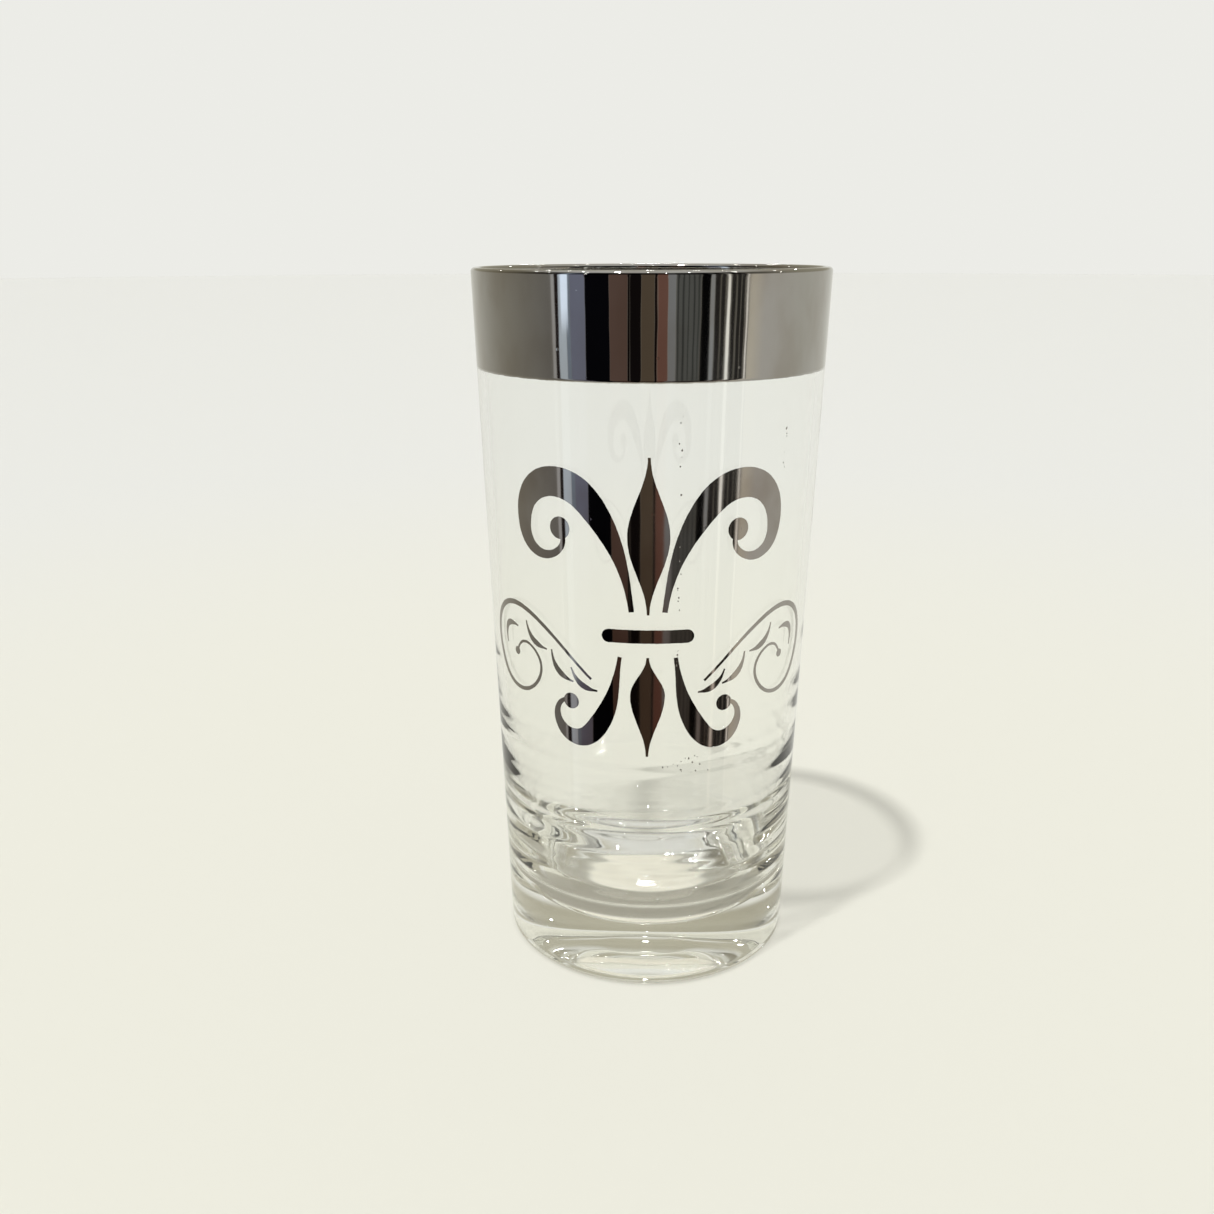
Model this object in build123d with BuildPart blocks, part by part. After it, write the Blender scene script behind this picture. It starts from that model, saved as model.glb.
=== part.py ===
from build123d import *
import os
from math import atan, cos, pi, radians, sin

# Tall clear-glass tumbler with a thick base and fired silver-lustre decoration.
# Frame: millimetres, +Z up, origin at the centre of the foot ring, front decoration facing -Y.
# Every separate patch of lustre is a thin film that lies on the conical outer wall.

# Outer wall: a straight cone from foot to rim
height = 140.0
foot_radius = 30.1
rim_radius = 34.56
heel_fillet = 1.4

# Inner wall, thickening towards the base, as (radius, height)
rim_wall = 1.6
straight_wall = 1.65
straight_wall_low = 92.0
lip_fillet = 0.75
waist = (30.0, 49.9)
flank = (29.2, 37.8)
lower_flank = (28.15, 27.9)
shoulder = (26.0, 18.2)
corner = (23.4, 14.0)
bowl = (19.0, 10.6)
lower_bowl = (13.0, 8.4)
floor_radius = 6.0
floor_height = 7.4

# Underside: a foot ring round a shallow hollow
recess_radius = 24.5
recess_depth = 2.4

# Silver lustre
film = 0.1
band_height = 18.5
band_inside_depth = 0.9
sleeve_low = 46.0
sleeve_high = 116.0
stroke_steps = 14

# Ornament round the front line: heights above the foot, lengths measured along the wall.
# A facing is in degrees right of the front. A pen is (width at the ends, width at the fullest, share of the
# length where it is fullest). A ball is the radius of the dot at a stroke's end.
reading_height = 80.0
collar_height = 75.7
collar_length = 17.0
collar_thickness = 2.6
spindle_route = [(0, 79.9), (0, 108.8)]
spindle_pen = (0.5, 7.6, 0.5)
pendant_route = [(0, 71.6), (0, 51.6)]
pendant_pen = (0.5, 6.6, 0.38)
volute_facing = 24
volute_pen = (1.0, 5.6, 0.46)
volute_ball = 2.1
volute_route = [
    (3.0, 80.4),
    (4.6, 88.5),
    (8.8, 97.6),
    (15.4, 103.4),
    (22.0, 102.2),
    (25.0, 96.0),
    (22.2, 90.2),
    (17.2, 90.8),
    (16.6, 95.2),
]
hook_facing = 20
hook_pen = (0.8, 4.0, 0.48)
hook_ball = 1.6
hook_route = [(5.2, 71.6), (6.5, 64.5), (9.2, 58.0), (13.2, 54.4), (17.4, 55.8), (18.2, 60.2), (15.2, 61.6)]
arch_facing = 42
arch_pen = (0.5, 1.1, 0.45)
arch_ball = 0.8
arch_route = [
    (10.8, 66.6),
    (16.5, 71.9),
    (23.4, 76.9),
    (30.8, 78.4),
    (36.4, 74.2),
    (36.2, 66.6),
    (30.4, 61.2),
    (23.9, 63.2),
    (22.6, 68.6),
    (26.4, 71.2),
    (29.4, 68.6),
]
leaf_facing = 38
leaf_pen = (0.35, 1.2, 0.4)
leaf_routes = [
    [(9.6, 64.4), (13.0, 65.4), (15.0, 68.4)],
    [(14.6, 65.6), (18.0, 67.4), (19.4, 71.2)],
    [(20.6, 71.0), (24.6, 72.6), (26.0, 75.6)],
    [(28.8, 73.8), (32.6, 73.4), (33.2, 69.4)],
]

taper = (rim_radius - foot_radius) / height
slope_stretch = 1 / cos(atan(taper))


def outer_radius(level):
    """Radius of the outer wall at a height."""
    return foot_radius + taper * level


def inner_radius(level):
    """Radius of the inner wall at a height in its straight upper stretch."""
    share = (height - level) / (height - straight_wall_low)
    return outer_radius(level) - rim_wall - share * (straight_wall - rim_wall)


def lip_section(grow):
    """Section of the wall round the lip, grown by the thickness of a film."""
    low = height - 2 * band_height
    high = height + grow
    clearance = grow * slope_stretch
    with BuildSketch() as section:
        with BuildLine():
            Polyline(
                (inner_radius(low) - clearance, low),
                (outer_radius(low) + clearance, low),
                (outer_radius(high) + clearance, high),
                (inner_radius(high) - clearance, high),
                close=True,
            )
        make_face()
        fillet(section.vertices().group_by(Axis.Y)[-1], radius=lip_fillet + grow)
    return section.sketch


def facing_plane(facing):
    """Vertical plane through the axis whose normal points out of the wall, degrees right of the front."""
    angle = radians(facing)
    return Plane(
        origin=(0, 0, 0),
        x_dir=(cos(angle), sin(angle), 0),
        z_dir=(sin(angle), -cos(angle), 0),
    )


def on_plane(point, facing):
    """A point of the unrolled wall, (mm right of the front line, height), as the facing plane sees it."""
    along, level = point
    turn = along / outer_radius(reading_height) - radians(facing)
    return (outer_radius(level) * sin(turn), level)


def pen_width(share, pen):
    """Width of a pen stroke at a share of its length: thin at both ends, thick where it is fullest."""
    thin, thick, fullest = pen
    rise = share / fullest if share < fullest else (1 - share) / (1 - fullest)
    return thin + (thick - thin) * sin(pi / 2 * rise) ** 2


def write_stroke(name, facing, route, pen, ball=0.0):
    """Write one patch of lustre: a pen stroke along a route, with a ball at its end if it has a radius."""
    path = Spline(*route) if len(route) > 2 else Line(*route)
    left = []
    right = []
    for step in range(stroke_steps + 1):
        share = step / stroke_steps
        centre = path @ share
        across = (path % share).rotate(Axis.Z, 90) * pen_width(share, pen) / 2
        left.append(on_plane((centre.X + across.X, centre.Y + across.Y), facing))
        right.append(on_plane((centre.X - across.X, centre.Y - across.Y), facing))
    with BuildPart() as stroke:
        with BuildSketch(facing_plane(facing)):
            with BuildLine():
                Spline(*left)
                Line(left[-1], right[-1])
                Spline(*right)
                Line(right[0], left[0])
            make_face()
            if ball > 0:
                with Locations(on_plane(route[-1], facing)):
                    Circle(ball)
        extrude(amount=2 * rim_radius)
        add(film_sleeve.part, mode=Mode.INTERSECT)
    stroke.part.label = name
    export_step(stroke.part, f"parts/{name}.step")


os.makedirs("parts", exist_ok=True)

# Glass: one moulded piece
with BuildPart() as glass_body:
    with BuildSketch(Plane.XZ) as glass_section:
        with BuildLine():
            Polyline((0, recess_depth), (0, floor_height), (floor_radius, floor_height))
            Spline(
                (floor_radius, floor_height),
                lower_bowl,
                bowl,
                corner,
                shoulder,
                lower_flank,
                flank,
                waist,
                (inner_radius(straight_wall_low), straight_wall_low),
                tangents=((1, 0), (taper, 1)),
            )
            Polyline(
                (inner_radius(straight_wall_low), straight_wall_low),
                (inner_radius(height), height),
                (outer_radius(height), height),
                (foot_radius, 0),
                (recess_radius, 0),
            )
            TangentArc((0, recess_depth), (recess_radius, 0), tangent=(1, 0))
        make_face()
        fillet(glass_section.vertices().group_by(Axis.Y)[-1], radius=lip_fillet)
        fillet(glass_section.vertices().group_by(Axis.Y)[0].sort_by(Axis.X)[-1], radius=heel_fillet)
    revolve(axis=Axis.Z)
glass_body.part.label = "glass_body"
export_step(glass_body.part, "parts/glass_body.step")

# Lustre band: down the outside from the rim, over the lip and a little way inside
with BuildPart() as rim_band:
    with BuildSketch(Plane.XZ):
        add(lip_section(film))
        add(lip_section(0), mode=Mode.SUBTRACT)
        with Locations((0, height - band_height)):
            Rectangle(2 * height, height, align=(Align.CENTER, Align.MAX), mode=Mode.SUBTRACT)
        with Locations((inner_radius(height), height - band_inside_depth)):
            Rectangle(rim_wall, height, align=(Align.CENTER, Align.MAX), mode=Mode.SUBTRACT)
    revolve(axis=Axis.Z)
rim_band.part.label = "rim_band"
export_step(rim_band.part, "parts/rim_band.step")

# The space that the films of the ornament may fill: a thin sleeve on the outer wall
with BuildPart() as film_sleeve:
    with BuildSketch(Plane.XZ):
        with BuildLine():
            Polyline(
                (outer_radius(sleeve_low), sleeve_low),
                (outer_radius(sleeve_low) + film, sleeve_low),
                (outer_radius(sleeve_high) + film, sleeve_high),
                (outer_radius(sleeve_high), sleeve_high),
                close=True,
            )
        make_face()
    revolve(axis=Axis.Z)

# Central ornament: a spindle over a pendant, with a collar between them
write_stroke("ornament_spindle", 0, spindle_route, spindle_pen)
write_stroke("ornament_pendant", 0, pendant_route, pendant_pen)
with BuildPart() as ornament_collar:
    with BuildSketch(facing_plane(0)):
        with Locations((0, collar_height)):
            SlotOverall(collar_length, collar_thickness)
    extrude(amount=2 * rim_radius)
    add(film_sleeve.part, mode=Mode.INTERSECT)
ornament_collar.part.label = "ornament_collar"
export_step(ornament_collar.part, "parts/ornament_collar.step")

# Mirrored pairs: volutes and hooks beside the ornament, then the fine scrollwork
for side, hand in (("left", -1), ("right", 1)):
    routes = (volute_route, hook_route, arch_route)
    volute, hook, arch = ([(hand * x, z) for x, z in route] for route in routes)
    write_stroke(f"{side}_volute", hand * volute_facing, volute, volute_pen, volute_ball)
    write_stroke(f"{side}_hook", hand * hook_facing, hook, hook_pen, hook_ball)
    write_stroke(f"{side}_scroll_arch", hand * arch_facing, arch, arch_pen, arch_ball)
    for number, route in enumerate(leaf_routes, start=1):
        leaf = [(hand * x, z) for x, z in route]
        write_stroke(f"{side}_scroll_leaf_{number}", hand * leaf_facing, leaf, leaf_pen)
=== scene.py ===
import math

import bmesh
import bpy
import numpy as np
from mathutils import Matrix, Vector, geometry


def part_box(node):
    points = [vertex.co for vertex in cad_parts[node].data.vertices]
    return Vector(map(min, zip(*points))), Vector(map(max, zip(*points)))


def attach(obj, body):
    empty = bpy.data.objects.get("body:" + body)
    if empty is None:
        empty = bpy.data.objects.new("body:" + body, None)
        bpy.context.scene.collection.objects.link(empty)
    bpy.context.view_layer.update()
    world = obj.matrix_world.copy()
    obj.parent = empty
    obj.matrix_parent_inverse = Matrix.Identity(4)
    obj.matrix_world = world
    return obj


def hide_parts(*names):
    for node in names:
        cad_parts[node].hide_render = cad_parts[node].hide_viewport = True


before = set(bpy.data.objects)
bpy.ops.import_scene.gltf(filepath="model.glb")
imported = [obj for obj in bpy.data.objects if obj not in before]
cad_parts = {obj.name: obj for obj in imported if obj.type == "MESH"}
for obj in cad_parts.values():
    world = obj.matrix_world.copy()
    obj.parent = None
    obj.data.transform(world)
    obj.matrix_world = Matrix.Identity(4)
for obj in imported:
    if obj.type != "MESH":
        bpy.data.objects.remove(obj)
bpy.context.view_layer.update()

# A highball tumbler: one glass body, a silver lustre band fired over its rim, and a silver
# lustre ornament on its front. Metres, +Z up, the front of the glass towards -Y.

MM = 0.001

# ------------------------------------------------------------------------------ sizes
glass_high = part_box("glass_body")[1]
band_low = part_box("rim_band")[0]

HEIGHT = glass_high.z
RIM_RADIUS = glass_high.x
FOOT_RADIUS = 30.1 * MM
TAPER = (RIM_RADIUS - FOOT_RADIUS) / HEIGHT
RIM_WALL = 1.6 * MM
STRAIGHT_WALL = 1.65 * MM
STRAIGHT_WALL_LOW = 92 * MM
LIP_FILLET = 0.75 * MM
HEEL_FILLET = 1.4 * MM
FLOOR_RADIUS = 6 * MM
FLOOR_HEIGHT = 7.4 * MM
RECESS_RADIUS = 24.5 * MM
RECESS_DEPTH = 2.4 * MM
# radius and height of points that the inside wall passes, in millimetres, from its floor up
INSIDE_CURVE = [
    (13.0, 8.4),
    (19.0, 10.6),
    (23.4, 14.0),
    (26.0, 18.2),
    (28.15, 27.9),
    (29.2, 37.8),
    (30.0, 49.9),
]
BAND_INSIDE_DEPTH = 0.9 * MM

FILM_PROUD = 0.035 * MM  # how far the lustre stands above the glass
FILM_SUNK = 0.02 * MM  # how far its hidden back is let into the glass
FILM_RAGGED = 0.06 * MM  # how uneven its printed edge is

GLASS_SEGMENTS = 240
BAND_SEGMENTS = 360

# Soft rings that pressing left inside: their lengths, and how steep each one is
RIPPLE_LENGTHS = [2.3 * MM, 2.9 * MM, 3.7 * MM, 4.9 * MM, 7.3 * MM, 12 * MM]
RIPPLE_SLOPE = 0.022
RIPPLE_RADII = (2 * MM, 12 * MM)  # they begin between these distances from the axis
RIPPLE_RISE = (15 * MM, 26 * MM)  # they grow between these heights, from the first share to the second
RIPPLE_SHARES = (0.4, 1.3)
RIPPLE_END = (26 * MM, 80 * MM)  # and they die away between these heights
TILTED_RIPPLE = 4 * MM  # only rings longer than this run at a slant

# Long, faint waves of the fire-polished outside
SKIN_LENGTHS = [11 * MM, 17 * MM, 29 * MM]
SKIN_SLOPE = 0.0012
SKIN_START = (8 * MM, 25 * MM)
SKIN_END = (100 * MM, 120 * MM)


def outer_radius(level):
    return FOOT_RADIUS + TAPER * level


def inner_radius(level):
    share = (HEIGHT - level) / (HEIGHT - STRAIGHT_WALL_LOW)
    return outer_radius(level) - RIM_WALL - share * (STRAIGHT_WALL - RIM_WALL)


# ------------------------------------------------------------------------------ profiles
def straight(start, end, steps):
    """Points along a straight line, both ends included."""
    share = np.linspace(0, 1, steps + 1)[:, None]
    return np.array(start) * (1 - share) + np.array(end) * share


def rounded_corner(before, corner, after, radius, steps):
    """Points of the arc that rounds a corner between two straight lines."""
    before, corner, after = (Vector(p) for p in (before, corner, after))
    towards, onwards = (before - corner).normalized(), (after - corner).normalized()
    half = towards.angle(onwards) / 2
    centre = corner + (towards + onwards).normalized() * radius / math.sin(half)
    start = corner + towards * radius / math.tan(half) - centre
    end = corner + onwards * radius / math.tan(half) - centre
    first = math.atan2(start.y, start.x)
    turn = (math.atan2(end.y, end.x) - first + math.pi) % (2 * math.pi) - math.pi
    angles = first + turn * np.linspace(0, 1, steps + 1)
    return np.column_stack((centre.x + radius * np.cos(angles), centre.y + radius * np.sin(angles)))


def smooth_curve(points, start, end, steps):
    """Points of a cubic spline through points, with unit directions start and end at its ends.
    They lie closer together towards its start."""
    points = np.array(points)
    chord = np.hypot(*np.diff(points, axis=0).T)
    knots = np.concatenate(([0], np.cumsum(chord)))
    count = len(points)
    matrix = np.eye(count)
    slopes = np.zeros((count, 2))
    slopes[0] = start
    slopes[-1] = end
    for i in range(1, count - 1):
        before, after = chord[i - 1], chord[i]
        matrix[i, i - 1 : i + 2] = after, 2 * (before + after), before
        rise = after * (points[i] - points[i - 1]) / before + before * (points[i + 1] - points[i]) / after
        slopes[i] = 3 * rise
    slopes = np.linalg.solve(matrix, slopes)
    at = knots[-1] * np.linspace(0, 1, steps + 1) ** 1.3
    span = np.clip(np.searchsorted(knots, at, side="right") - 1, 0, count - 2)
    length = chord[span][:, None]
    u = ((at - knots[span]) / chord[span])[:, None]
    return (
        (2 * u**3 - 3 * u**2 + 1) * points[span]
        + (u**3 - 2 * u**2 + u) * length * slopes[span]
        + (3 * u**2 - 2 * u**3) * points[span + 1]
        + (u**3 - u**2) * length * slopes[span + 1]
    )


def joined(*runs):
    """One run of points from several, with each shared end point once."""
    points = np.vstack(runs)
    step = np.hypot(*np.diff(points, axis=0).T)
    return points[np.concatenate(([True], step > 0.001 * MM))]


def lip_corners():
    """The corner points of the rim's section, before its two edges are rounded."""
    return (inner_radius(HEIGHT), HEIGHT), (outer_radius(HEIGHT), HEIGHT)


def glass_profile():
    """Radius and height from the middle of the underside, up the outside and down the inside."""
    top_in, top_out = lip_corners()
    foot = (FOOT_RADIUS, 0)
    straight_low = (inner_radius(STRAIGHT_WALL_LOW), STRAIGHT_WALL_LOW)
    sphere = (RECESS_RADIUS**2 + RECESS_DEPTH**2) / (2 * RECESS_DEPTH)
    across = np.linspace(0, RECESS_RADIUS, 25)
    underside = np.column_stack((across, RECESS_DEPTH - sphere + np.sqrt(sphere**2 - across**2)))
    heel = rounded_corner((0, 0), foot, top_out, HEEL_FILLET, 10)
    lip_outside = rounded_corner(foot, top_out, top_in, LIP_FILLET, 8)
    lip_inside = rounded_corner(top_out, top_in, straight_low, LIP_FILLET, 8)
    floor_edge = (FLOOR_RADIUS, FLOOR_HEIGHT)
    body_curve = [floor_edge, *((r * MM, z * MM) for r, z in INSIDE_CURVE), straight_low]
    up_wall = Vector((TAPER, 1)).normalized()
    return joined(
        underside,
        straight(underside[-1], heel[0], 4),
        heel,
        straight(heel[-1], lip_outside[0], 60),
        lip_outside,
        lip_inside,
        straight(lip_inside[-1], straight_low, 16),
        smooth_curve(body_curve, (1, 0), up_wall, 270)[::-1],
        straight(floor_edge, (0, FLOOR_HEIGHT), 10),
    )


# ------------------------------------------------------------------------------ meshes
def new_object(name, verts, faces):
    mesh = bpy.data.meshes.new(name)
    mesh.from_pydata(verts, [], faces)
    bm = bmesh.new()
    bm.from_mesh(mesh)
    bmesh.ops.recalc_face_normals(bm, faces=bm.faces)
    bm.to_mesh(mesh)
    bm.free()
    mesh.shade_smooth()
    thing = bpy.data.objects.new(name, mesh)
    bpy.context.scene.collection.objects.link(thing)
    return thing


def lathe(name, profile, segments, unevenness=None):
    """A closed surface of revolution. unevenness(radius, height, azimuth) says how far each
    point stands out along the profile's normal; azimuth 0 is the front of the glass."""
    azimuth = np.linspace(0, 2 * math.pi, segments, endpoint=False)
    tangent = np.gradient(profile, axis=0)
    tangent /= np.hypot(*tangent.T)[:, None]
    radius, height = (profile[:, i, None] + 0 * azimuth for i in (0, 1))
    if unevenness:
        out = unevenness(radius, height, azimuth[None, :])
        radius = radius + out * tangent[:, 1, None]
        height = height - out * tangent[:, 0, None]
    on_axis = profile[:, 0] < 0.001 * MM
    verts, rings = [], []
    for r, z, centred in zip(radius, height, on_axis):
        if centred:
            rings.append([len(verts)] * segments)
            verts.append((0, 0, z.mean()))
        else:
            rings.append(list(range(len(verts), len(verts) + segments)))
            verts.extend(zip(r * np.sin(azimuth), -r * np.cos(azimuth), z))
    if not on_axis[0]:
        rings.append(rings[0])
    faces = []
    for lower, upper in zip(rings, rings[1:]):
        for k in range(segments):
            after = (k + 1) % segments
            corners = (lower[k], lower[after], upper[after], upper[k])
            faces.append(tuple(dict.fromkeys(corners)))
    return new_object(name, verts, faces)


# ------------------------------------------------------------------------------ glass body
def smooth_step(value, low, high):
    share = np.clip((value - low) / (high - low), 0, 1)
    return share * share * (3 - 2 * share)


def waves(along, azimuth, lengths, slope, turns, seed):
    """Uneven rings: sine waves along a wall, each tilted and bent a little round the glass."""
    draw = np.random.default_rng(seed)
    total = 0
    for length in lengths:
        lean = draw.integers(-turns, turns + 1) if length > TILTED_RIPPLE else 0
        phase, bend = draw.uniform(0, 6.28), draw.uniform(0.4, 1.4)
        swell = 1 + 0.6 * np.sin(draw.integers(1, 4) * azimuth + draw.uniform(0, 6.28))
        angle = 2 * math.pi * along / length + lean * azimuth + bend * np.sin(azimuth + phase)
        total = total + slope * length / (2 * math.pi) * swell * np.sin(angle)
    return total


def glass_unevenness(radius, height, azimuth):
    """Pressed glass sets with soft rings low down inside; its fire-polished outside barely waves."""
    inside = (height > 3 * MM) & (radius < outer_radius(height) - 0.8 * MM)
    weak, strong = RIPPLE_SHARES
    share = weak + (strong - weak) * smooth_step(height, *RIPPLE_RISE)
    fade = (1 - smooth_step(height, *RIPPLE_END)) * smooth_step(radius, *RIPPLE_RADII) * share
    along = height + 0.8 * (FOOT_RADIUS - radius)
    rings = waves(along, azimuth, RIPPLE_LENGTHS, RIPPLE_SLOPE, 1, 7)
    skin = waves(height, azimuth, SKIN_LENGTHS, SKIN_SLOPE, 2, 11)
    middle = smooth_step(height, *SKIN_START) * (1 - smooth_step(height, *SKIN_END))
    return np.where(inside, -fade * rings, middle * skin)


glass = lathe("tumbler_glass", glass_profile(), GLASS_SEGMENTS, glass_unevenness)
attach(glass, "root")
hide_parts("glass_body")


# ------------------------------------------------------------------------------ lustre films
def edge_noise(along, seed):
    """A fine unevenness, from -1 to 1, along an edge."""
    draw = np.random.default_rng(seed)
    total = 0
    for length in (0.7 * MM, 1.1 * MM, 2.3 * MM, 5.0 * MM):
        total = total + np.sin(2 * math.pi * along / length + draw.uniform(0, 6.28)) / 4
    return total


def band_profile():
    """The band's closed section: up the outside, over the lip, and back inside the glass."""
    top_in, top_out = lip_corners()
    below = (outer_radius(band_low.z), band_low.z)
    inside = (inner_radius(HEIGHT - BAND_INSIDE_DEPTH), HEIGHT - BAND_INSIDE_DEPTH)
    lip_outside = rounded_corner(below, top_out, top_in, LIP_FILLET, 8)
    lip_inside = rounded_corner(top_out, top_in, inside, LIP_FILLET, 8)
    skin = joined(
        straight(below, lip_outside[0], 36),
        lip_outside,
        lip_inside,
        straight(lip_inside[-1], inside, 2),
    )
    tangent = np.gradient(skin, axis=0)
    tangent /= np.hypot(*tangent.T)[:, None]
    normal = np.column_stack((tangent[:, 1], -tangent[:, 0]))
    return np.vstack((skin + FILM_PROUD * normal, (skin - FILM_SUNK * normal)[::-1]))


def band_film():
    band = lathe("rim_band_film", band_profile(), BAND_SEGMENTS)
    for vertex in band.data.vertices:
        near_edge = 1 - smooth_step(vertex.co.z, band_low.z, band_low.z + 0.5 * MM)
        along = math.atan2(vertex.co.x, -vertex.co.y) * RIM_RADIUS
        vertex.co.z += FILM_RAGGED * edge_noise(along, 3) * near_edge
    return band


def outline(node):
    """The outline of a film's outer skin, unrolled: a closed loop of (distance round, height)."""
    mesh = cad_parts[node].data
    points = np.array([v.co for v in mesh.vertices])
    radius = np.hypot(points[:, 0], points[:, 1])
    proud = radius - outer_radius(points[:, 2]) > 0.05 * MM
    round_way = np.arctan2(points[:, 0], -points[:, 1]) * outer_radius(points[:, 2])
    keys = [tuple(k) for k in np.round(points / (0.002 * MM)).astype(int)]
    place, uses = {}, {}
    for polygon in mesh.polygons:
        ring = list(polygon.vertices)
        if not proud[ring].all():
            continue
        for a, b in zip(ring, ring[1:] + ring[:1]):
            place[keys[a]] = (round_way[a], points[a, 2])
            place[keys[b]] = (round_way[b], points[b, 2])
            edge = (keys[a], keys[b])
            uses[edge] = uses.get(edge, 0) + 1
    follows = {a: b for a, b in uses if (b, a) not in uses}
    first = next(iter(follows))
    loop, at = [place[first]], follows[first]
    while at != first:
        loop.append(place[at])
        at = follows[at]
    return np.array(loop)


def frayed(loop, seed, step=0.25 * MM):
    """The loop with its long sides divided, and every point moved a little in or out."""
    fine = []
    for a, b in zip(loop, np.roll(loop, -1, axis=0)):
        parts = max(1, round(math.dist(a, b) / step))
        fine.extend(straight(a, b, parts)[:-1])
    fine = np.array(fine)
    ahead = np.roll(fine, -1, axis=0) - np.roll(fine, 1, axis=0)
    side = np.column_stack((ahead[:, 1], -ahead[:, 0])) / np.hypot(*ahead.T)[:, None]
    along = np.concatenate(([0], np.cumsum(np.hypot(*np.diff(fine, axis=0).T))))
    return fine + 0.6 * FILM_RAGGED * edge_noise(along, seed)[:, None] * side


def on_glass(point, height_above):
    """The place on the outer wall of an unrolled point, that far above the glass."""
    radius = outer_radius(point[1])
    azimuth = point[0] / radius
    radius += height_above
    return (radius * math.sin(azimuth), -radius * math.cos(azimuth), point[1])


def film(name, loops, grid=0.7 * MM):
    """A closed thin skin on the outer wall, filling each unrolled loop."""
    verts, faces = [], []
    for loop in loops:
        low, high = loop.min(axis=0), loop.max(axis=0)
        fill = [
            (x, y)
            for x in np.arange(low[0] + grid / 2, high[0], grid)
            for y in np.arange(low[1] + grid / 2, high[1], grid)
        ]
        flat = [Vector(p) for p in (*loop, *fill)]
        made = geometry.delaunay_2d_cdt(flat, [], [list(range(len(loop)))], 1, 1e-7)
        points, triangles = made[0], made[2]
        used = sorted({i for t in triangles for i in t})
        front = {v: len(verts) + k for k, v in enumerate(used)}
        back = {v: len(verts) + len(used) + k for k, v in enumerate(used)}
        verts += [on_glass(points[v], FILM_PROUD) for v in used]
        verts += [on_glass(points[v], -FILM_SUNK) for v in used]
        edges = {(t[i], t[(i + 1) % 3]) for t in triangles for i in range(3)}
        faces += [tuple(front[v] for v in t) for t in triangles]
        faces += [tuple(back[v] for v in reversed(t)) for t in triangles]
        faces += [(front[b], front[a], back[a], back[b]) for a, b in edges if (b, a) not in edges]
    return new_object(name, verts, faces)


def with_true_normals(thing):
    """Shades the front and back as parts of the cone, and the thin edge as a sharp step."""
    mesh = thing.data
    normals = []
    for polygon in mesh.polygons:
        outward = Vector((polygon.center.x, polygon.center.y, 0)).normalized()
        facing = polygon.normal.dot(outward)
        for index in polygon.vertices:
            co = mesh.vertices[index].co
            cone = Vector((co.x, co.y, -TAPER * math.hypot(co.x, co.y))).normalized()
            normals.append(polygon.normal if abs(facing) < 0.8 else cone * math.copysign(1, facing))
    mesh.normals_split_custom_set(normals)
    return thing


def stray_specks():
    """Specks of lustre that strayed from the print: two upright trails and a patch low in front."""
    draw = np.random.default_rng(5)
    places = [(draw.normal(5.6, 0.25), draw.uniform(70, 116)) for _ in range(20)]
    places += [(draw.normal(27.6, 0.2), draw.uniform(103, 113)) for _ in range(7)]
    places += [(draw.uniform(3, 12), draw.normal(50, 1.6)) for _ in range(18)]
    loops = []
    for right, level in places:
        size = draw.uniform(0.06, 0.17)
        angles = np.linspace(0, 2 * math.pi, 9, endpoint=False)
        reach = size * draw.uniform(0.7, 1.3, 9)
        speck = np.column_stack((right + reach * np.cos(angles), level + 1.4 * reach * np.sin(angles)))
        loops.append(speck * MM)
    return film("stray_specks", loops)


lustre_films = {"silver_lustre_band": [], "silver_lustre_ornament": [], "silver_lustre_scrollwork": []}

band = band_film()
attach(band, "root")
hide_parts("rim_band")
lustre_films["silver_lustre_band"].append(band)

stroke_nodes = sorted(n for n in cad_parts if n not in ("glass_body", "rim_band"))
for number, node in enumerate(stroke_nodes):
    stroke = with_true_normals(film(node + "_film", [frayed(outline(node), 20 + number)]))
    slot = "silver_lustre_scrollwork" if "scroll" in node else "silver_lustre_ornament"
    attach(stroke, "root")
    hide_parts(node)
    lustre_films[slot].append(stroke)

specks = stray_specks()
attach(specks, "root")
lustre_films["silver_lustre_scrollwork"].append(specks)


# ------------------------------------------------------------------------------ materials
def add_node(tree, kind, inputs=None, **settings):
    """A new node. inputs maps a socket to a value, or to the socket that feeds it."""
    node = tree.nodes.new("ShaderNode" + kind)
    for name, value in settings.items():
        setattr(node, name, value)
    for socket, value in (inputs or {}).items():
        if isinstance(value, bpy.types.NodeSocket):
            tree.links.new(value, node.inputs[socket])
        else:
            node.inputs[socket].default_value = value
    return node


def maths(tree, operation, *values):
    return add_node(tree, "Math", dict(enumerate(values)), operation=operation).outputs[0]


def ramp(tree, value, low, high, at_low, at_high):
    """at_low where value is low, at_high where it is high, and smooth between."""
    inputs = {"Value": value, 1: low, 2: high, 3: at_low, 4: at_high}
    return add_node(tree, "MapRange", inputs, interpolation_type="SMOOTHSTEP").outputs[0]


def new_material(name):
    """A material and its tree, its shader and its object coordinates."""
    material = bpy.data.materials.new(name)
    material.use_nodes = True
    tree = material.node_tree
    shader = tree.nodes["Principled BSDF"]
    coordinates = add_node(tree, "TexCoord").outputs["Object"]
    return material, tree, shader, coordinates


def noise(tree, coordinates, scale, detail=2.0, stretch=(1, 1, 1)):
    placed = add_node(tree, "Mapping", {"Vector": coordinates, "Scale": stretch}).outputs[0]
    return add_node(tree, "TexNoise", {"Vector": placed, "Scale": scale, "Detail": detail}).outputs["Fac"]


def mixed(tree, factor, first, second, blend_type="MIX"):
    """A mix of two colours, each one given, or the socket that feeds it."""
    first, second = ((*c, 1) if isinstance(c, tuple) else c for c in (first, second))
    inputs = {0: factor, 6: first, 7: second}
    return add_node(tree, "Mix", inputs, data_type="RGBA", blend_type=blend_type).outputs[2]


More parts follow.
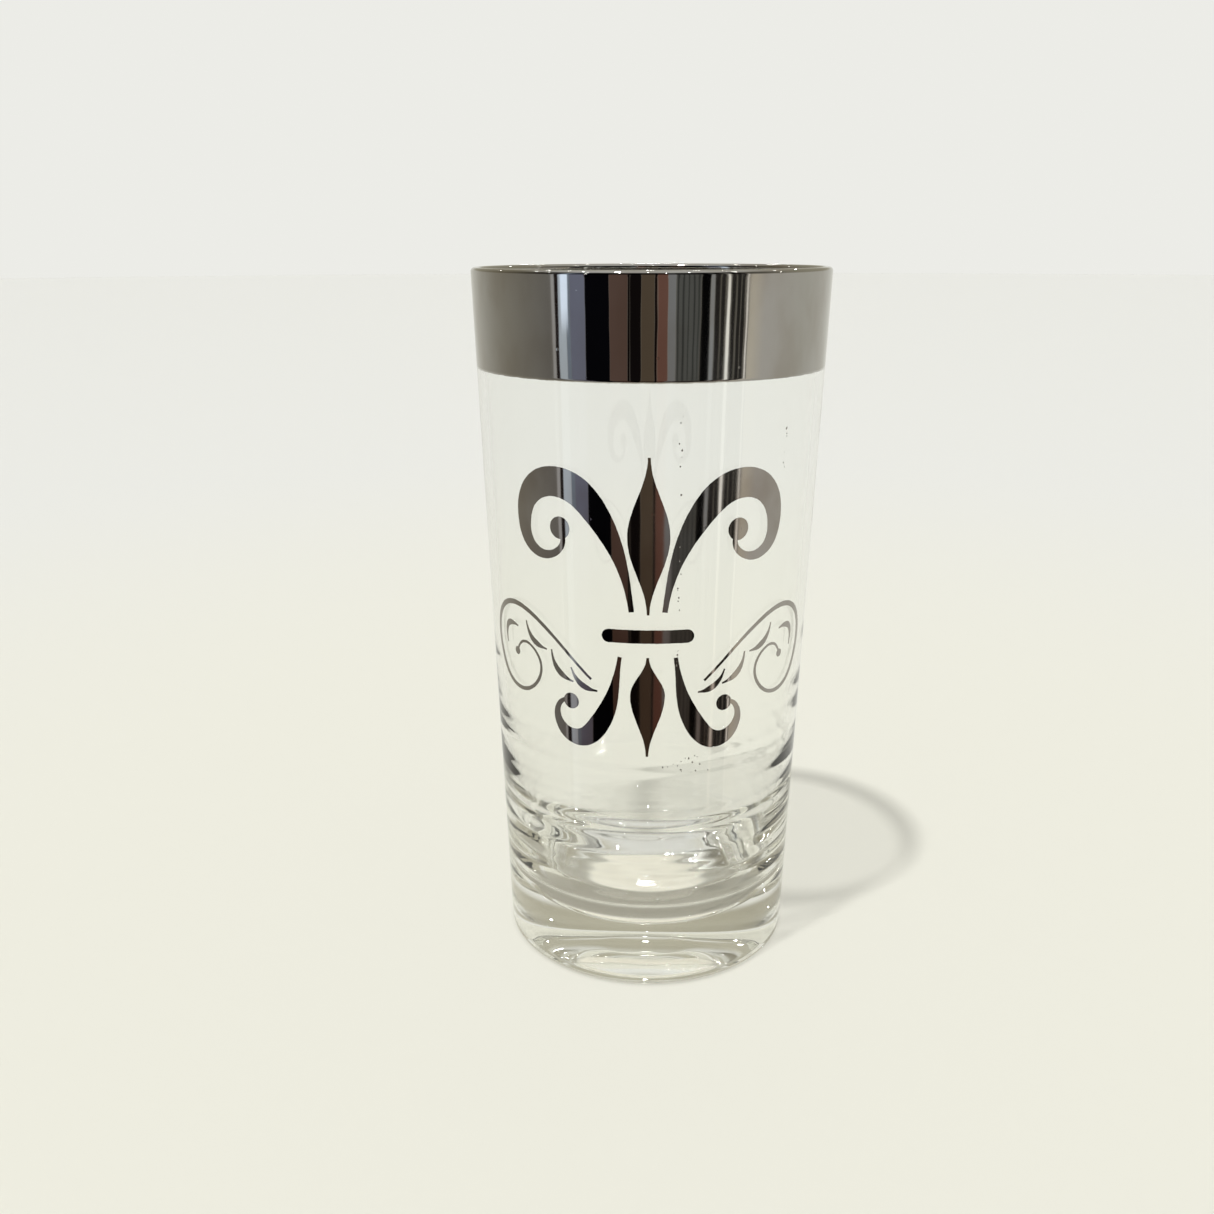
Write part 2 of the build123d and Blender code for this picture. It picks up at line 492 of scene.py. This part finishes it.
def bump(tree, height, distance, strength=1.0, below=None):
    inputs = {"Height": height, "Distance": distance, "Strength": strength}
    if below:
        inputs["Normal"] = below
    return add_node(tree, "Bump", inputs).outputs[0]


GLASS_IOR = 1.52
CLEAN_TINT = (0.985, 0.99, 0.98)
DUST_TINT = (0.62, 0.60, 0.56)
DEPTH_TINT = (0.62, 0.61, 0.44)  # the colour that thick glass takes on, and how fast
DEPTH_DENSITY = 6.0


def glass_material():
    """Clear soda-lime glass with a few wiped smears and grains of dust."""
    material, tree, shader, coordinates = new_material("clear_glass")
    shader.inputs["Transmission Weight"].default_value = 1.0
    shader.inputs["IOR"].default_value = GLASS_IOR
    dust = add_node(tree, "TexVoronoi", {"Vector": coordinates, "Scale": 420.0}).outputs["Distance"]
    grains = ramp(tree, dust, 0.03, 0.06, 1.0, 0.0)
    few = ramp(tree, noise(tree, coordinates, 90.0), 0.58, 0.62, 0.0, 1.0)
    speck = maths(tree, "MULTIPLY", grains, few)
    tint = mixed(tree, speck, CLEAN_TINT, DUST_TINT)
    tree.links.new(tint, shader.inputs["Base Color"])
    smear = ramp(tree, noise(tree, coordinates, 45.0, 4.0, (1, 1, 0.3)), 0.58, 0.8, 0.0, 0.012)
    tree.links.new(smear, shader.inputs["Roughness"])
    depth = add_node(tree, "VolumeAbsorption", {"Color": (*DEPTH_TINT, 1), "Density": DEPTH_DENSITY})
    tree.links.new(depth.outputs[0], tree.nodes["Material Output"].inputs["Volume"])
    return material


def lustre_material(name, colour, tarnish, smoothness):
    """Fired silver lustre: a mirror-thin metal film, faintly tarnished, smeared and pinholed."""
    material, tree, shader, coordinates = new_material(name)
    shader.inputs["Metallic"].default_value = 1.0
    patches = ramp(tree, noise(tree, coordinates, 110.0, 3.0, (1, 1, 0.6)), 0.35, 0.7, 0.0, 1.0)
    tree.links.new(mixed(tree, patches, colour, tarnish), shader.inputs["Base Color"])
    smears = noise(tree, coordinates, 70.0, 4.0, (1, 1, 0.25))
    tree.links.new(ramp(tree, smears, 0.35, 0.8, smoothness, smoothness + 0.09), shader.inputs["Roughness"])
    holes = add_node(tree, "TexVoronoi", {"Vector": coordinates, "Scale": 260.0}).outputs["Distance"]
    pinholes = ramp(tree, holes, 0.03, 0.07, 0.0, 1.0)
    wavy = bump(tree, noise(tree, coordinates, 240.0, 1.0, (1, 1, 0.5)), 0.01 * MM)
    tree.links.new(bump(tree, pinholes, 0.01 * MM, 0.6, wavy), shader.inputs["Normal"])
    return material


# colour, colour where tarnished, and roughness where it isn't smeared
lustre_finishes = {
    "silver_lustre_band": ((0.43, 0.42, 0.40), (0.38, 0.36, 0.33), 0.02),
    "silver_lustre_ornament": ((0.42, 0.40, 0.38), (0.34, 0.31, 0.28), 0.03),
    "silver_lustre_scrollwork": ((0.46, 0.44, 0.42), (0.38, 0.36, 0.33), 0.06),
}
glass.data.materials.append(glass_material())
for slot, pieces in lustre_films.items():
    finish = lustre_material(slot, *lustre_finishes[slot])
    for piece in pieces:
        piece.data.materials.append(finish)


# ------------------------------------------------------------------------------ floor
FLOOR_DROP = 0.02 * MM
FLOOR_HOLE = 0.1 * MM
NEAR_FLOOR = 95 * MM
FAR_FLOOR = 6.0

NEAR_PAINT = (0.80, 0.79, 0.70)
FAR_PAINT = (0.78, 0.78, 0.74)
SHADED_PAINT = (0.40, 0.38, 0.31)  # under the thick wall, which takes the light away
LIT_PAINT = (0.98, 0.94, 0.80)  # under the middle of the base, which lets it through
# between which distances from the axis each one sets in or ends
FAR_STARTS = (0.12, 0.6)
SHADE_STARTS = (14 * MM, 18.5 * MM)
SHADE_ENDS = (27 * MM, 31 * MM)
LIT_ENDS = (14 * MM, 17 * MM)


def floor_ring(name, inner, outer, segments=128):
    around = [2 * math.pi * k / segments for k in range(segments)]
    verts = [(r * math.cos(a), r * math.sin(a), -FLOOR_DROP) for a in around for r in (inner, outer)]
    count = len(verts)
    faces = [(k, k + 1, (k + 3) % count, (k + 2) % count) for k in range(0, count, 2)]
    thing = new_object(name, verts, faces)
    return thing


def floor_paint():
    """Plain pale paint. Within the foot ring it stands for the light and shade that the glass casts."""
    material, tree, shader, coordinates = new_material("floor_paint")
    shader.inputs["Roughness"].default_value = 0.9
    distance = add_node(tree, "VectorMath", {0: coordinates}, operation="LENGTH").outputs["Value"]
    paint = mixed(tree, ramp(tree, distance, *FAR_STARTS, 0.0, 1.0), NEAR_PAINT, FAR_PAINT)
    wall_starts = ramp(tree, distance, *SHADE_STARTS, 0.0, 1.0)
    wall_ends = ramp(tree, distance, *SHADE_ENDS, 1.0, 0.0)
    paint = mixed(tree, maths(tree, "MULTIPLY", wall_starts, wall_ends), paint, SHADED_PAINT)
    paint = mixed(tree, ramp(tree, distance, *LIT_ENDS, 1.0, 0.0), paint, LIT_PAINT)
    tree.links.new(paint, shader.inputs["Base Color"])
    return material


near_floor = floor_ring("floor_near", FLOOR_HOLE, NEAR_FLOOR)
far_floor = floor_ring("floor_far", NEAR_FLOOR, FAR_FLOOR)
far_floor.visible_glossy = False
floor_finish = floor_paint()
for thing in (near_floor, far_floor):
    thing.data.materials.append(floor_finish)


# ------------------------------------------------------------------------------ surroundings
# The mirror-bright lustre shows what stands round it: pale walls to the sides and behind, and in
# front a row of cards and dark flags. Azimuth in degrees, 0 in front, growing to the right.
WALLS = [
    (-180, (0.80, 0.80, 0.74)),
    (-145, (0.66, 0.65, 0.58)),
    (-105, (0.39, 0.37, 0.31)),
    (-66, (0.25, 0.24, 0.22)),
    (66, (0.83, 0.78, 0.66)),
    (75, (0.70, 0.68, 0.63)),
    (110, (0.68, 0.67, 0.60)),
    (180, (0.80, 0.80, 0.74)),
]
# left edge, right edge and colour of each card
CARDS = [
    (-63.5, -61.5, (0.60, 0.60, 0.60)),
    (-61.5, -58.5, (0.020, 0.012, 0.010)),
    (-58.5, -53.0, (0.75, 0.86, 0.98)),
    (-53.0, -50.0, (0.30, 0.36, 0.45)),
    (-50.0, -41.0, (0.26, 0.28, 0.38)),
    (-41.0, -25.0, (0.004, 0.004, 0.006)),
    (-25.0, -14.0, (0.17, 0.11, 0.09)),
    (-14.0, -12.5, (0.006, 0.004, 0.004)),
    (-12.5, -5.5, (0.010, 0.008, 0.008)),
    (-5.5, 2.5, (0.155, 0.120, 0.085)),
    (2.5, 4.5, (0.012, 0.007, 0.006)),
    (4.5, 10.5, (0.25, 0.13, 0.10)),
    (10.5, 15.5, (0.34, 0.35, 0.36)),
    (15.5, 31.0, (0.15, 0.155, 0.145)),
    (31.0, 37.0, (0.004, 0.004, 0.004)),
    (37.0, 39.5, (0.46, 0.48, 0.49)),
    (39.5, 60.0, (0.035, 0.033, 0.030)),
    (60.0, 63.0, (0.20, 0.19, 0.17)),
    (47.4, 49.4, (1.7, 1.7, 1.6)),
    (61.0, 62.2, (1.5, 1.45, 1.35)),
]
# runs of narrow slats: first left edge, spacing, width, count and colour
SLATS = [(16.5, 3.1, 0.9, 5, (0.06, 0.062, 0.06)), (43.0, 3.4, 0.7, 5, (0.24, 0.23, 0.20))]
CARD_EDGE = 0.35
CARD_WANDER = 2.2  # how far the cards' edges wander as they rise, in degrees
WANDER_SCALE = 0.35
WANDER_RISE = 0.25
PANE = (-57.0, -52.0, (1.5, 1.75, 2.1))  # a bright pane, lit only above PANE_FOOT
PANE_EDGE = 0.5
PANE_FOOT = (-7.5, -6.0)

DIM_LOW = (0.55, 0.45, 0.40)  # what the low part in front is multiplied by
DIM_FRONT = (0.22, 0.22, 0.22)  # and the upper part in front
DIM_BEHIND = (0.62, 0.59, 0.51)  # and the upper part behind
CEILING = (0.80, 0.80, 0.76)
AMBIENT = (0.75, 0.75, 0.74)
BACKDROP = (0.84, 0.84, 0.80)

# between which elevations, in degrees, each of them sets in or ends
LOW_ENDS = (-26.0, -12.0)
UPPER_STARTS = (5.0, 14.0)
CEILING_STARTS = (38.0, 60.0)
BACKDROP_ENDS = (10.0, 20.0)
# and between which azimuths to either side
LOW_SIDES = (40.0, 75.0)
BEHIND_STARTS = (65.0, 115.0)


def between(tree, value, low, high, edge):
    """1 between low and high, 0 outside them, with soft edges."""
    rise = ramp(tree, value, low - edge, low + edge, 0.0, 1.0)
    fall = ramp(tree, value, high - edge, high + edge, 1.0, 0.0)
    return maths(tree, "MULTIPLY", rise, fall)


def walls(tree, azimuth):
    """The colour of the walls all the way round."""
    share = add_node(tree, "MapRange", {"Value": azimuth, 1: -180.0, 2: 180.0}).outputs[0]
    colours = add_node(tree, "ValToRGB", {0: share})
    stops = colours.color_ramp.elements
    for number, (angle, colour) in enumerate(WALLS):
        stop = stops[number] if number < 2 else stops.new(1.0)
        stop.position = (angle + 180) / 360
        stop.color = (*colour, 1)
    return colours.outputs[0]


def with_cards(tree, room, azimuth, elevation):
    """The walls with the cards, slats and pane that stand in front of the glass."""
    cards = list(CARDS)
    for first, spacing, width, count, colour in SLATS:
        cards += [(first + k * spacing, first + k * spacing + width, colour) for k in range(count)]
    slow_rise = maths(tree, "MULTIPLY", elevation, WANDER_RISE)
    place = add_node(tree, "CombineXYZ", {0: azimuth, 1: slow_rise}).outputs[0]
    wander = maths(tree, "SUBTRACT", noise(tree, place, WANDER_SCALE), 0.5)
    bent = maths(tree, "ADD", azimuth, maths(tree, "MULTIPLY", wander, CARD_WANDER))
    for left, right, colour in cards:
        room = mixed(tree, between(tree, bent, left, right, CARD_EDGE), room, colour)
    left, right, colour = PANE
    lit = ramp(tree, elevation, *PANE_FOOT, 0.0, 1.0)
    pane = maths(tree, "MULTIPLY", between(tree, bent, left, right, PANE_EDGE), lit)
    return mixed(tree, pane, room, colour)


def build_world():
    """The studio as the glass and the lustre show it, an even ambient light, and a plain backdrop."""
    world = bpy.data.worlds.new("studio")
    bpy.context.scene.world = world
    world.use_nodes = True
    tree = world.node_tree
    axes = add_node(tree, "SeparateXYZ", {0: add_node(tree, "TexCoord").outputs["Generated"]}).outputs
    azimuth = maths(tree, "ARCTAN2", axes["X"], maths(tree, "MULTIPLY", axes["Y"], -1.0))
    azimuth = maths(tree, "MULTIPLY", azimuth, 180 / math.pi)
    aside = maths(tree, "ABSOLUTE", azimuth)
    elevation = maths(tree, "MULTIPLY", maths(tree, "ARCSINE", axes["Z"]), 180 / math.pi)

    room = with_cards(tree, walls(tree, azimuth), azimuth, elevation)
    low = ramp(tree, elevation, *LOW_ENDS, 1.0, 0.0)
    ahead = ramp(tree, aside, *LOW_SIDES, 1.0, 0.0)
    room = mixed(tree, maths(tree, "MULTIPLY", low, ahead), room, DIM_LOW, "MULTIPLY")
    dim = mixed(tree, ramp(tree, aside, *BEHIND_STARTS, 0.0, 1.0), DIM_FRONT, DIM_BEHIND)
    room = mixed(tree, ramp(tree, elevation, *UPPER_STARTS, 0.0, 1.0), room, dim, "MULTIPLY")
    room = mixed(tree, ramp(tree, elevation, *CEILING_STARTS, 0.0, 1.0), room, CEILING)

    # Seen level or downwards through the glass, the room is as plain as the backdrop.
    rays = add_node(tree, "LightPath").outputs
    level_view = ramp(tree, elevation, *BACKDROP_ENDS, 1.0, 0.0)
    clear = maths(tree, "MULTIPLY", rays["Is Transmission Ray"], level_view)
    shown = add_node(tree, "Background", {0: mixed(tree, clear, room, BACKDROP)}).outputs[0]
    ambient = add_node(tree, "Background", {0: (*AMBIENT, 1)}).outputs[0]
    backdrop = add_node(tree, "Background", {0: (*BACKDROP, 1)}).outputs[0]
    shown = add_node(tree, "MixShader", {0: rays["Is Diffuse Ray"], 1: shown, 2: ambient}).outputs[0]
    shown = add_node(tree, "MixShader", {0: rays["Is Camera Ray"], 1: shown, 2: backdrop}).outputs[0]
    tree.links.new(shown, tree.nodes["World Output"].inputs[0])


build_world()

# ------------------------------------------------------------------------------ lamps
KEY_DIRECTION = Vector((-0.25, -0.29, 1.0)).normalized()
KEY_ANGLE = 2.5
KEY_THROUGH_GLASS = 0.75
KEY_STOPPED_BY_GLASS = 0.40

SPARKLE_COUNT = 20
SPARKLE_LOWEST = 24.0  # the elevation of the first one, in degrees
SPARKLE_RISE = 2.2  # and how much higher each one stands than the last
GOLDEN_ANGLE = 137.5
SPARKLE_ANGLE = 0.9
SPARKLE_ENERGY = 0.016


def sun(name, energy, direction, angle):
    lamp = bpy.data.lights.new(name, "SUN")
    lamp.angle = math.radians(angle)
    lamp.energy = energy
    thing = bpy.data.objects.new(name, lamp)
    bpy.context.scene.collection.objects.link(thing)
    thing.rotation_mode = "QUATERNION"
    thing.rotation_quaternion = direction.to_track_quat("Z", "Y")
    return thing


def direction_at(azimuth, elevation):
    """The direction of a place in the room, in degrees, azimuth as for the cards."""
    a, e = math.radians(azimuth), math.radians(elevation)
    return Vector((math.sin(a) * math.cos(e), -math.cos(a) * math.cos(e), math.sin(e)))


# The key lamp in two shares: the glass lets the first one through and stops the second.
through = sun("key_through_glass", KEY_THROUGH_GLASS, KEY_DIRECTION, KEY_ANGLE)
sun("key", KEY_STOPPED_BY_GLASS, KEY_DIRECTION, KEY_ANGLE)
blockers = bpy.data.collections.new("key_blockers")
for pieces in lustre_films.values():
    for piece in pieces:
        blockers.objects.link(piece)
through.light_linking.blocker_collection = blockers
glass.visible_diffuse = False

# Small far lamps that only the glass and the lustre show, as sparkles.
for number in range(SPARKLE_COUNT):
    azimuth = GOLDEN_ANGLE * number % 360 - 180
    place = direction_at(azimuth, SPARKLE_LOWEST + SPARKLE_RISE * number)
    sparkle = sun(f"sparkle_{number}", SPARKLE_ENERGY, place, SPARKLE_ANGLE)
    sparkle.visible_diffuse = False

# ------------------------------------------------------------------------------ camera
CAMERA_DISTANCE = 1.676 * HEIGHT
CAMERA_HEIGHT = 1.030 * HEIGHT
PITCH, YAW, ROLL = (math.radians(v) for v in (17.25, -2.11, -0.16))
SENSOR_WIDTH = 36
FOCAL_LENGTH = 34.695
CLIP_START = 5 * MM

forward = Vector((math.sin(YAW) * math.cos(PITCH), math.cos(YAW) * math.cos(PITCH), -math.sin(PITCH)))
sideways = Vector((math.cos(YAW), -math.sin(YAW), 0))
upward = sideways.cross(forward)
right = math.cos(ROLL) * sideways + math.sin(ROLL) * upward
upright = math.cos(ROLL) * upward - math.sin(ROLL) * sideways
pose = Matrix((right, upright, -forward)).transposed().to_4x4()
pose.translation = Vector((0, -CAMERA_DISTANCE, CAMERA_HEIGHT))
lens = bpy.data.cameras.new("camera")
lens.sensor_width = SENSOR_WIDTH
lens.lens = FOCAL_LENGTH
lens.clip_start = CLIP_START
camera = bpy.data.objects.new("camera", lens)
camera.matrix_world = pose
bpy.context.scene.collection.objects.link(camera)
bpy.context.scene.camera = camera

settings = bpy.context.scene.cycles
settings.max_bounces = 24
settings.transmission_bounces = 24
settings.glossy_bounces = 12
settings.caustics_reflective = False
settings.caustics_refractive = False
settings.sample_clamp_indirect = 0
bpy.context.scene.view_settings.view_transform = "Standard"
